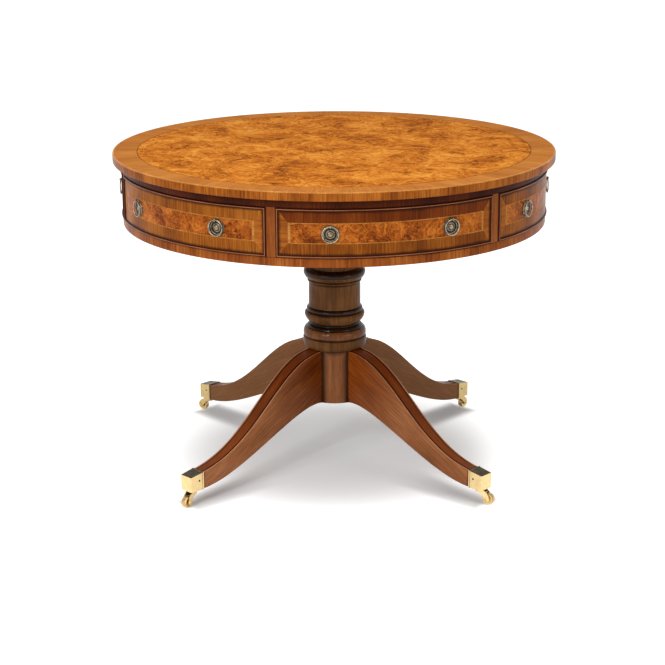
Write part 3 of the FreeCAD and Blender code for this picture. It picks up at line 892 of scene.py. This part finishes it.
plate_outline = [
    (19.5, 0.0), (19.5, 0.7), (19.2, 1.15), (18.6, 1.3), (17.9, 1.15), (17.5, 0.75), (16.4, 0.55),
    (15.2, 0.7), (14.6, 1.1), (13.9, 1.25), (13.2, 1.05), (12.8, 0.6), (10.6, 0.5), (9.6, 0.65), (9.0, 1.3),
    (8.2, 1.75), (7.3, 1.7), (6.6, 1.45), (5.6, 1.7), (4.9, 2.6), (3.9, 3.3), (2.4, 3.55), (0.0, 3.6),
]
plate_hollows = (0, 5, 6, 11, 12, 17)
post_outline = [(1.7, 0.4), (1.3, 1.2), (1.2, 3.4), (0.4, 3.7)]


def tube_ring(shell, radius, bar, segments, sides):
    """A round bar bent into a ring about z."""
    def corner(side, share):
        turn = 2 * math.pi * side / sides
        angle = 2 * math.pi * share
        point = around(radius + bar * math.cos(turn), angle, bar * math.sin(turn))
        return (point, (angle * radius, turn * bar), AWAY)

    shell.grid(swept(range(sides + 1), segments, corner))


def make_plate(spot):
    plate = Shell()
    lathe(plate, in_metres(plate_outline), segments=48, hollows=plate_hollows)
    since = len(plate.points)
    tube_ring(plate, eye_radius, eye_bar, segments=20, sides=8)
    plate.place(Matrix.Translation((0, hinge_rise, ring_stand)) @ Matrix.Rotation(math.pi / 2, 4, "Y"), since)
    since = len(plate.points)
    lathe(plate, in_metres(post_outline), segments=16)
    plate.place(Matrix.Translation((0, hinge_rise, 0)), since)
    plate.place(spot)
    return plate


def make_pulls():
    for bay, name in enumerate(bay_names):
        for side, side_name in ((-1, "left"), (1, "right")):
            turn = Matrix.Rotation(bay_angle(bay) + side * handle_spread, 4, "Z")
            spot = turn @ Matrix.Translation((drum_radius, 0, handle_height)) @ outwards
            node = bay_node(bay, "handle_plates", "dummy_handle_plates")
            plate = make_plate(spot)
            plate.build(name + "_plate_" + side_name, bay_body(bay), "aged_brass", [aged_brass], (node,))
            ring = Shell()
            tube_ring(ring, ring_radius, ring_bar, segments=56, sides=12)
            ring.place(spot @ Matrix.Translation((0, 0, ring_stand)))
            ring_node = name + "_ring_pull_" + side_name
            ring.build(name + "_ring_" + side_name, ring_node, "aged_brass", [ring_brass], (ring_node,))


# Turned column: its outline as (radius, height) in millimetres, and the heights of its hollows, darkened by
# grime and painted shade

column_outline = [
    (1.0, 152.0), (69.2, 152.0), (70.0, 152.8), (70.0, 200.0), (70.0, 283.0), (75.0, 283.0), (75.8, 283.8),
    (75.8, 290.0), (75.8, 303.6), (75.2, 304.9), (73.2, 306.0), (72.6, 307.4), (73.4, 308.6), (74.8, 309.6),
    (75.3, 312.0), (75.3, 316.0), (74.7, 320.5), (73.3, 324.4), (71.2, 327.4), (69.6, 328.7), (67.6, 329.3),
    (66.9, 329.9), (66.6, 331.3), (65.3, 333.6), (62.8, 335.3), (60.2, 336.0), (58.0, 336.4), (57.2, 337.6),
    (57.2, 339.6), (58.2, 340.9), (61.4, 341.2), (62.0, 341.9), (62.0, 343.3), (62.8, 344.0), (65.4, 346.4),
    (68.0, 349.6), (70.4, 353.8), (71.8, 358.2), (72.1, 361.4), (71.4, 364.3), (69.4, 366.5), (67.2, 367.3),
    (66.0, 367.7), (65.4, 368.8), (66.4, 370.0), (67.2, 372.0), (67.1, 374.6), (66.0, 377.2), (64.2, 378.7),
    (62.8, 379.4), (62.1, 380.6), (62.0, 395.0), (62.0, 425.0), (61.8, 438.6), (62.1, 440.4), (63.2, 441.6),
    (64.6, 442.6), (65.0, 444.2), (64.4, 445.9), (63.2, 446.8), (63.0, 447.8), (64.2, 448.6), (66.4, 449.8),
    (69.4, 452.6), (71.8, 456.2), (73.0, 459.0), (73.3, 460.4), (73.9, 462.0), (74.0, 465.6), (72.8, 469.4),
    (70.2, 472.0), (66.2, 473.4), (60.0, 474.0), (58.0, 475.2), (58.0, 500.0), (58.0, 575.0), (1.0, 575.0),
]
column_hollow_heights = (283.0, 307.4, 330.2, 338.4, 343.3, 368.0, 380.0, 440.6, 447.4, 461.0)
column_segments = 128
tenon_half = 30 * MM
tenon_top = 597.7 * MM
SHAFT, BLOCK, DARK_SHADED_MOULDING, OVOLO = range(4)
# The mouldings take the darker wood, partly painted shade from the drum above
column_parts = ((0, 4, BLOCK), (4, 11, SHAFT), (11, 19, OVOLO), (19, 33, DARK_SHADED_MOULDING), (33, 43, SHAFT),
                (43, 50, DARK_SHADED_MOULDING), (50, 65, SHAFT), (65, 73, DARK_SHADED_MOULDING), (73, 76, SHAFT))


def make_column():
    column = Shell()
    profile = in_metres(column_outline)
    indexes = range(len(profile))
    hollows = [min(indexes, key=lambda index: abs(column_outline[index][1] - height))
               for height in column_hollow_heights]
    for start, end, slot in column_parts:
        inside = [index - start for index in hollows if start <= index <= end]
        part = profile[start:end + 1]
        lathe(column, part, column_segments, slot, hollows=inside, painted_shade_beside_legs=slot == BLOCK)
    corners = [(-tenon_half, -tenon_half), (tenon_half, -tenon_half), (tenon_half, tenon_half),
               (-tenon_half, tenon_half), (-tenon_half, -tenon_half)]
    column.grid([[(Vector((x, y, z)), (z, x + y), AWAY) for x, y in corners]
                 for z in (profile[-1][1], tenon_top)])
    materials = [column_wood, pedestal_block_wood, dark_shaded_moulding_wood, ovolo_wood]
    column.build("turned_column", "base", "pedestal_walnut", materials, ("column",), sharp=50)


# Sabre legs: edges as Bezier points of (distance from the column's axis, height) in millimetres

leg_root = 65.94 * MM
leg_toe = 443.5 * MM
leg_root_half = 23.5 * MM
leg_toe_half = 17.8 * MM
upper_edge = ((65.94, 280.4), (201.5, 280.4), (270.2, 100.2), (443.5, 77.7))
lower_edge = ((65.94, 152.0), (143.7, 170.5), (319.3, 39.9), (443.5, 37.8))
leg_stations = 72
halvings = 40

# Section of a leg, in millimetres in from its side, and up from its bottom or down from its top

sole_outline = ((1.2, 0.0), (0.35, 0.35), (0.0, 1.2))
upper_bead_outline = ((0.0, 2.6), (0.35, 1.2), (1.3, 0.3), (2.6, 0.0), (3.9, 0.3), (5.0, 1.0))
quirk_insets = (5.3, 6.9, 8.5)
quirk_depth = 2.6 * MM
crown_start = (8.9, 0.5)
crown_drop = 0.4 * MM
LEG_SIDE, LEG_TOP, LEG_ARRIS_HIGHLIGHT = range(3)
# The arris strip takes the lighter wood, a painted highlight
leg_strips = ((0, 7, LEG_SIDE), (7, 9, LEG_ARRIS_HIGHLIGHT), (9, 13, LEG_SIDE), (13, 15, LEG_TOP))
side_point = 3
quirk_point = 12
leg_grain_slope = math.radians(28)


def bezier_height(edge, reach):
    """Height in millimetres of an edge at a distance from the column's axis, in millimetres."""
    low, high = 0.0, 1.0
    for _ in range(halvings):
        share = (low + high) / 2
        rest = 1 - share
        weights = (rest ** 3, 3 * rest * rest * share, 3 * rest * share * share, share ** 3)
        x = sum(weight * point[0] for weight, point in zip(weights, edge))
        if x < reach:
            low = share
        else:
            high = share
    return sum(weight * point[1] for weight, point in zip(weights, edge))


def leg_section(half, bottom, top, steepness):
    """Half of the leg's section, from the middle of its underside to the middle of its top."""
    quirk_floor = top - quirk_depth * steepness
    section = [(0.0, bottom)]
    section += [(half - inset * MM, bottom + rise * MM) for inset, rise in sole_outline]
    section += [(half, (bottom + top) / 2)]
    section += [(half - inset * MM, top - drop * MM) for inset, drop in upper_bead_outline]
    section += [(half - inset * MM, quirk_floor) for inset in quirk_insets]
    section += [(half - crown_start[0] * MM, top - crown_start[1] * MM), (0.0, top - crown_drop)]
    return section


def leg_cuts():
    """(distance from the axis, length along the leg, section) at each station."""
    cuts = []
    travelled = 0.0
    previous = None
    for step in range(leg_stations + 1):
        reach = leg_root + (leg_toe - leg_root) * step / leg_stations
        top = bezier_height(upper_edge, reach / MM) * MM
        bottom = bezier_height(lower_edge, reach / MM) * MM
        centre = Vector((reach, (top + bottom) / 2))
        slope = 0.0
        if previous is not None:
            travelled += (centre - previous).length
            slope = abs((centre.y - previous.y) / (centre.x - previous.x))
        previous = centre
        half = leg_root_half + (leg_toe_half - leg_root_half) * step / leg_stations
        cuts.append((reach, travelled, leg_section(half, bottom, top, math.sqrt(1 + slope ** 2))))
    return cuts


def leg_strip(cuts, turn, side, start, end, slot):
    """Rows of a strip along the leg. The grain of a side runs straight, and that of the top along it."""
    rows = []
    for reach, along, section in cuts:
        lengths = along_profile(section)
        half = section[side_point][0]
        to_end = min(reach - leg_root, leg_toe - reach)
        row = []
        for index in range(start, end + 1):
            y, z = section[index]
            if slot == LEG_SIDE:
                down = math.cos(leg_grain_slope) * reach - math.sin(leg_grain_slope) * z
                over = math.sin(leg_grain_slope) * reach + math.cos(leg_grain_slope) * z
                place = (down, over + half - y)
            else:
                place = (along, y)
            # The quirk and both ends of the leg darken: grime and painted shade
            to_quirk = abs(lengths[index] - lengths[quirk_point])
            row.append((turn @ Vector((reach, side * y, z)), place, (to_quirk, to_end)))
        rows.append(row)
    return rows


def make_legs():
    cuts = leg_cuts()
    # The front legs' woods differ in the painted shade at their roots; the rear legs take the darker
    # painted-shade wood
    side_woods = {"front_left": left_leg_wood_shaded_root, "front_right": right_leg_wood_shaded_root}
    for index, name in enumerate(leg_names):
        leg = Shell()
        for side in (-1, 1):
            for start, end, slot in leg_strips:
                leg.grid(leg_strip(cuts, leg_turn(index, 3), side, start, end, slot), slot)
        materials = [side_woods.get(name, shaded_rear_leg_wood), leg_top_wood, leg_arris_highlight_wood]
        leg.build("sabre_leg_" + name, "base", "pedestal_walnut", materials, ("leg_" + name,), sharp=28)


# Toe caps

brass_bevel = 0.5 * MM

# Sizes of the caps in millimetres

cap_bottom = 37.0
cap_near = 443.5
cap_length = 37.0
cap_near_half = 18.6
cap_far_half = 17.6
cap_near_height = 41.5
cap_far_height = 36.0
lip_length = 3.4
lip_proud = 0.7
groove_from = 3.5
groove_to = 4.3
groove_proud = 0.08
screw_reach = 13.0
screw_side = 18.2
screw_height = 60.5
screw_outline = [(2.5, 0.0), (2.3, 0.35), (1.4, 0.6), (0.0, 0.65)]


def beveled(piece, segments):
    bevel = piece.modifiers.new("soft edges", "BEVEL")
    bevel.width = brass_bevel
    bevel.segments = segments
    bevel.limit_method = "ANGLE"
    bevel.angle_limit = math.radians(30)


# Rear caps and castors take the darker brass, painted shade; the front ones take polished brass
def brass_shaded_at_rear(name):
    return shaded_rear_brass if name.startswith("rear") else polished_brass


def tapered_box(shell, start, end, proud, top_slot):
    """A length of the cap's taper, proud of it all round, between two distances from its near end."""
    rims = []
    for along in (start, end):
        share = along / cap_length
        half = cap_near_half + (cap_far_half - cap_near_half) * share + proud
        low = cap_bottom - proud
        high = cap_bottom + cap_near_height + (cap_far_height - cap_near_height) * share + proud
        rim = [(-half, low), (half, low), (half, high), (-half, high)]
        rims.append([Vector(((cap_near + along) * MM, y * MM, z * MM)) for y, z in rim])
    first, last = rims
    faces = [(first, 0), (last, 0)]
    for i in range(4):
        faces.append(([first[i - 1], first[i], last[i], last[i - 1]], top_slot if i == 3 else 0))
    for corners, slot in faces:
        shell.face([(point, (point.x, point.z), AWAY) for point in corners], slot)


def make_caps():
    for index, name in enumerate(leg_names):
        turn = leg_turn(index, 4)
        cap = Shell()
        # The cap's top takes the dark brass, a painted reflection of the drum's underside
        tapered_box(cap, 0.0, cap_length, 0.0, 1)
        tapered_box(cap, 0.0, lip_length, lip_proud, 1)
        cap.place(turn)
        materials = [brass_shaded_at_rear(name), painted_shade_and_reflection_brass]
        beveled(cap.build("toe_cap_" + name, "base", "polished_brass", materials, ("toe_caps",)), 3)
        # The groove is a dark strip just proud of the cap: painted shade
        groove = Shell()
        tapered_box(groove, groove_from, groove_to, groove_proud, 0)
        groove.place(turn)
        groove.build("cap_groove_" + name, "base", "polished_brass", [painted_shade_and_reflection_brass])
        # The screw heads take the dark brass: painted shade
        screws = Shell()
        for side in (-1, 1):
            since = len(screws.points)
            lathe(screws, in_metres(screw_outline), segments=20, hollows=(0,))
            place = Vector((cap_near + screw_reach, side * screw_side, screw_height)) * MM
            flat = Matrix.Rotation(-side * math.pi / 2, 4, "X")
            screws.place(turn @ Matrix.Translation(place) @ flat, since)
        screws.build("cap_screws_" + name, "base", "polished_brass", [painted_shade_and_reflection_brass])


# Castors

castor_reach = 462 * MM

# Sizes of the castors in millimetres along the trail, up and across

axle_trail = 22.0
axle_height = 13.5
axle_boss = 5.5
horn_low = 29.0
horn_top = 36.7
horn_crown = 7.0
cheek_inner = 7.05
cheek_outer = 9.55
bridge_outline = [(-2.75, 29.2), (-2.75, 36.7), (7.0, 36.7), (11.0, 35.6), (11.5, 24.5), (8.5, 21.8),
                  (3.0, 28.0)]
rivet_outline = [(3.6, 0.0), (3.4, 0.7), (2.4, 1.2), (0.0, 1.35)]
hub_outline = [(4.1, 29.0), (9.2, 29.0), (9.7, 29.7), (9.7, 36.0), (9.2, 36.7), (4.1, 36.7), (4.1, 29.0)]
half_wheel_outline = [(2.3, 6.6), (4.2, 6.6), (4.8, 6.0), (9.6, 5.7), (11.2, 6.3), (12.4, 6.2), (13.1, 5.3),
                      (13.45, 2.2)]
wheel_strips = ((0, 3, 1), (3, 5, 0), (5, 11, 1), (11, 13, 0), (13, 17, 1))


def cheek_outline():
    """The castor's cheek seen from its side."""
    crown = (horn_crown, horn_top)
    heel = (axle_trail - axle_boss, axle_height)
    toe = (axle_trail + axle_boss, axle_height)
    shoulder = (axle_trail + axle_boss / 2, axle_height + 1.5 * axle_boss)
    throat = ((axle_trail - axle_boss) * 0.62, (axle_height + horn_low) / 2)
    root = (-axle_boss / 2, horn_low)
    points = [root, (-axle_boss / 2, horn_top), crown]
    points += arc(crown, shoulder, toe, 12)[1:]
    points += arc(toe, (axle_trail, axle_height - axle_boss), heel, 14)[1:]
    points += arc(heel, throat, root, 8)[1:-1]
    return points


def upright_plate(shell, outline, near, far, slot=0):
    """A flat plate between two places across the castor."""
    def corner(x, y, z):
        return (Vector((x * MM, y * MM, z * MM)), (x * MM, z * MM), AWAY)

    for y in (near, far):
        shell.face([corner(x, y, z) for x, z in outline], slot)
    closed = outline + outline[:1]
    shell.grid([[corner(x, y, z) for x, z in closed] for y in (near, far)], slot)


def make_castors():
    outline = cheek_outline()
    wheel_outline = [(radius, -z) for radius, z in half_wheel_outline] + [(axle_height, 0.0)]
    wheel_outline += half_wheel_outline[::-1]
    wheel_outline.append(wheel_outline[0])
    for index, name in enumerate(leg_names):
        spot = leg_turn(index, 4) @ Matrix.Translation((castor_reach, 0, 0))
        spot = spot @ Matrix.Rotation(castor_turns[index], 4, "Z")
        horn = Shell()
        for side in (-1, 1):
            upright_plate(horn, outline, side * cheek_inner, side * cheek_outer)
            since = len(horn.points)
            lathe(horn, in_metres(rivet_outline), segments=24)
            place = Vector((axle_trail, side * cheek_outer, axle_height)) * MM
            horn.place(Matrix.Translation(place) @ Matrix.Rotation(-side * math.pi / 2, 4, "X"), since)
        lathe(horn, in_metres(hub_outline), segments=40)
        # The bridge takes the dark brass, painted shade in the gap between the cheeks
        upright_plate(horn, bridge_outline, -cheek_inner, cheek_inner, 1)
        horn.place(spot)
        body = "castor_horn_" + name
        materials = [brass_shaded_at_rear(name), painted_shade_and_reflection_brass]
        beveled(horn.build("horn_" + name, body, "polished_brass", materials, (body,)), 2)
        wheel = Shell()
        profile = in_metres(wheel_outline)
        # The wheel's faces and tread take the darker brass, painted shade, darkest at their edges
        for start, end, slot in wheel_strips:
            lathe(wheel, profile[start:end + 1], 64, slot, hollows=(end - start,) if slot else ())
        place = Vector((axle_trail, 0, axle_height)) * MM
        wheel.place(spot @ Matrix.Translation(place) @ Matrix.Rotation(math.pi / 2, 4, "X"))
        body = "castor_wheel_" + name
        wheel.build("wheel_" + name, body, "polished_brass", [polished_brass, shaded_wheel_brass], (body,))


# Pieces that keep their own solids

def dress(node, material):
    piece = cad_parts[node]
    piece.data.materials.clear()
    piece.data.materials.append(material)


def dress_inner_parts():
    for bay in filter(is_drawer, range(len(bay_names))):
        name = bay_names[bay]
        turn = bay_angle(bay)
        lining = wood(name + "_lining", lining_tones, coat=0.0, turn=turn, shift=bay)
        cross = wood(name + "_lining_across", lining_tones, coat=0.0, turn=turn + math.pi / 2, shift=bay)
        dress(name + "_drawer_sides", lining)
        dress(name + "_drawer_back", cross)
        dress(name + "_drawer_bottom", cross)
    for node in ("carcase_partitions", "drawer_stops"):
        dress(node, plain_wood)
    dress("bearing_block", block_wood)
    dress("castor_pins", polished_brass)
    for node in ("pivot_spindle", "spindle_nut_and_washer"):
        dress(node, pivot_steel)


# Floor, lamps and world

floor_reach = 60.0
floor_tones = ((0.840, 0.869, 0.898), (0.855, 0.882, 0.908))
floor_roughness = 0.9
floor_white_from = 160 * MM
floor_white_to = 580 * MM
floor_lift = 0.155
floor_far_lift = 0.78
leg_shade_inner = 200 * MM
leg_shade_outer = 400 * MM
leg_shade_half = 62 * MM
leg_shade_core = 6 * MM
leg_shade_from = 458 * MM
leg_shade_to = 496 * MM


def make_paper():
    """The floor glows for direct rays, a painted light that lifts it to white. The glow starts away from the
    column, and leaves a strip of shade under each leg.
    """
    paper = Finish("floor_paper")
    place = paper.made("ShaderNodeTexCoord", "Object")
    tint = paper.noise(place, 0.8)
    distance = paper.made("ShaderNodeVectorMath", "Value", {0: place}, operation="LENGTH")
    lift = paper.span(distance, floor_white_from, floor_white_to)
    along, across, _ = paper.parts(paper.turned(place, first_leg_angle))
    from_leg = paper.math("MINIMUM", paper.math("ABSOLUTE", along), paper.math("ABSOLUTE", across))
    clear = paper.math("MAXIMUM", paper.span(from_leg, leg_shade_core, leg_shade_half),
                       paper.span(distance, leg_shade_from, leg_shade_to))
    lift = paper.span(paper.times(lift, clear), 0.0, 1.0, floor_lift, floor_far_lift)
    inner = paper.span(distance, leg_shade_outer, leg_shade_inner)
    lift = paper.times(lift, paper.math("MAXIMUM", clear, inner))
    paper.look({
        "Base Color": paper.ramp(tint, ((0.3, floor_tones[0]), (0.7, floor_tones[1]))),
        "Roughness": floor_roughness,
        "Specular IOR Level": 0.0,
        "Emission Color": WHITE,
        "Emission Strength": paper.times(lift, paper.seen_directly()),
    })
    return paper.material


def make_stage():
    mesh = bpy.data.meshes.new("floor")
    corners = [(x * floor_reach, y * floor_reach, 0) for x, y in ((-1, -1), (1, -1), (1, 1), (-1, 1))]
    mesh.from_pydata(corners, [], [(0, 1, 2, 3)])
    floor = new_object("floor", mesh)
    mesh.materials.append(make_paper())


# Name, place, target, width, height and watts

lamps = (
    ("overhead_softbox", (-0.1, -1.1, 3.3), (0, 0, 0.5), 2.4, 1.6, 42),
    ("left_softbox", (-2.4, -3.2, 2.0), (0, 0, 0.4), 1.8, 2.0, 52),
    ("left_strip", (-1.9, -3.4, 2.4), (0, 0, 0.4), 0.35, 0.6, 20),
    ("right_softbox", (3.0, -2.6, 1.6), (0, 0, 0.4), 1.6, 2.0, 26),
)
ambient_level = 0.45
white_level = 1.0


def make_lamps():
    for name, place, target, width, height, power in lamps:
        data = bpy.data.lights.new(name, "AREA")
        data.shape = "RECTANGLE"
        data.size = width
        data.size_y = height
        data.energy = power
        light = new_object(name, data)
        light.location = place
        light.rotation_mode = "QUATERNION"
        light.rotation_quaternion = (Vector(target) - Vector(place)).to_track_quat("-Z", "Y")


def make_world():
    world = bpy.data.worlds.new("studio")
    bpy.context.scene.world = world
    tree = Tree(world)
    ambient, white = (tree.made("ShaderNodeBackground", 0, {"Color": WHITE, "Strength": level})
                      for level in (ambient_level, white_level))
    mixed = tree.made("ShaderNodeMixShader", 0, {0: tree.seen_directly(), 1: ambient, 2: white})
    tree.show("ShaderNodeOutputWorld", mixed)
    bpy.context.scene.view_settings.view_transform = "Standard"


make_camera()
make_top()
make_rails()
make_stiles()
make_fronts()
make_beads()
make_pulls()
make_column()
make_legs()
make_caps()
make_castors()
dress_inner_parts()
make_stage()
make_lamps()
make_world()

bpy.context.view_layer.update()
